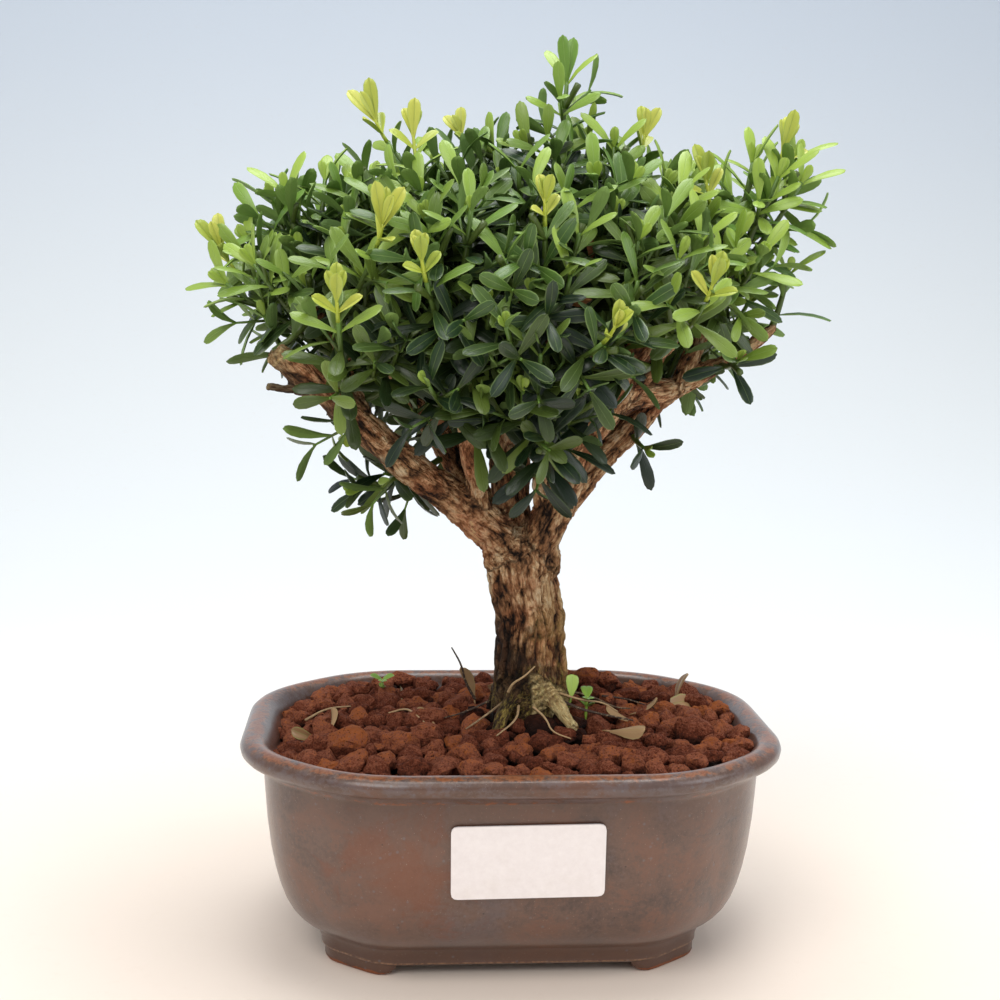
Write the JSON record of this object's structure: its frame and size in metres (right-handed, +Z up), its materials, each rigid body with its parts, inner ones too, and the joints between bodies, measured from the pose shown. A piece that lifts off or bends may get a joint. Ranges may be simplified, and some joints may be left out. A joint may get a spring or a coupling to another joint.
{
  "type": "harland boxwood bonsai in a pot",
  "caption": "Small boxwood bonsai with a thick forked trunk and a broad leafy crown, in a chamfered brown glazed pot filled with red-brown grains.",
  "frame": {"origin": "middle of the bounding box's bottom face, on the surface that the pot's feet stand on", "axes": "+Z up along the trunk, -Y towards the front with the label, +X to the right of the front"},
  "size_m": [0.1732, 0.1368, 0.2488],
  "materials": {
    "glaze": "satin brown-grey stoneware glaze with rust mottling",
    "label_paper": "smooth white sticker",
    "screen_plastic": "matt black mesh",
    "lava_grains": "rough red-brown grains",
    "bark": "corky, fissured bark",
    "leaf_green": "waxy dark green leaves",
    "leaf_lime": "fresh lime green leaves",
    "seedling_green": "soft bright green",
    "dead_leaf": "dull olive brown"
  },
  "bodies": {
    "root": {"pot": "glaze", "label": "label_paper", "drain_screen_left": "screen_plastic", "drain_screen_right": "screen_plastic", "soil": "lava_grains", "trunk": "bark", "spray_crown": "leaf_green", "spray_top_left": "leaf_green", "spray_top_left_front": "leaf_green", "spray_top_middle": "leaf_green", "spray_top_right": "leaf_green", "spray_top_right_back": "leaf_green", "spray_front_lead": "leaf_green", "spray_front_middle": "leaf_green", "spray_front_right": "leaf_green", "spray_front": "leaf_green", "spray_front_left": "leaf_green", "spray_front_low_left": "leaf_green", "spray_front_low": "leaf_green", "spray_left_front_high": "leaf_green", "spray_left_front_low": "leaf_green", "spray_left_end": "leaf_green", "spray_left_high": "leaf_green", "spray_left_low": "leaf_green", "spray_left_under": "leaf_green", "spray_right_high": "leaf_green", "spray_right_horn": "leaf_green", "spray_right_middle": "leaf_green", "spray_right_out": "leaf_green", "spray_right_front": "leaf_green", "spray_right_low": "leaf_green", "spray_right_under": "leaf_green", "spray_back_top_left": "leaf_green", "spray_back_top_right": "leaf_green", "spray_back_left": "leaf_green", "spray_back_left_low": "leaf_green", "spray_back_middle_left": "leaf_green", "spray_back_middle_right": "leaf_green", "spray_back_low": "leaf_green", "spray_back_low_right": "leaf_green", "spray_back_right": "leaf_green", "spray_back_right_low": "leaf_green", "fresh_top_left": "leaf_lime", "fresh_top_left_front": "leaf_lime", "fresh_top_middle": "leaf_lime", "fresh_top_right_back": "leaf_lime", "fresh_front_middle": "leaf_lime", "fresh_front_right": "leaf_lime", "fresh_front_left": "leaf_lime", "fresh_left_front_high": "leaf_lime", "fresh_left_front_low": "leaf_lime", "fresh_left_end": "leaf_lime", "fresh_right_high": "leaf_lime", "fresh_right_horn": "leaf_lime", "fresh_right_front": "leaf_lime", "seedling_back": "seedling_green", "seedling_trunk": "seedling_green", "fallen_leaf_front": "dead_leaf", "fallen_leaf_right": "dead_leaf"}
  },
  "joints": []
}
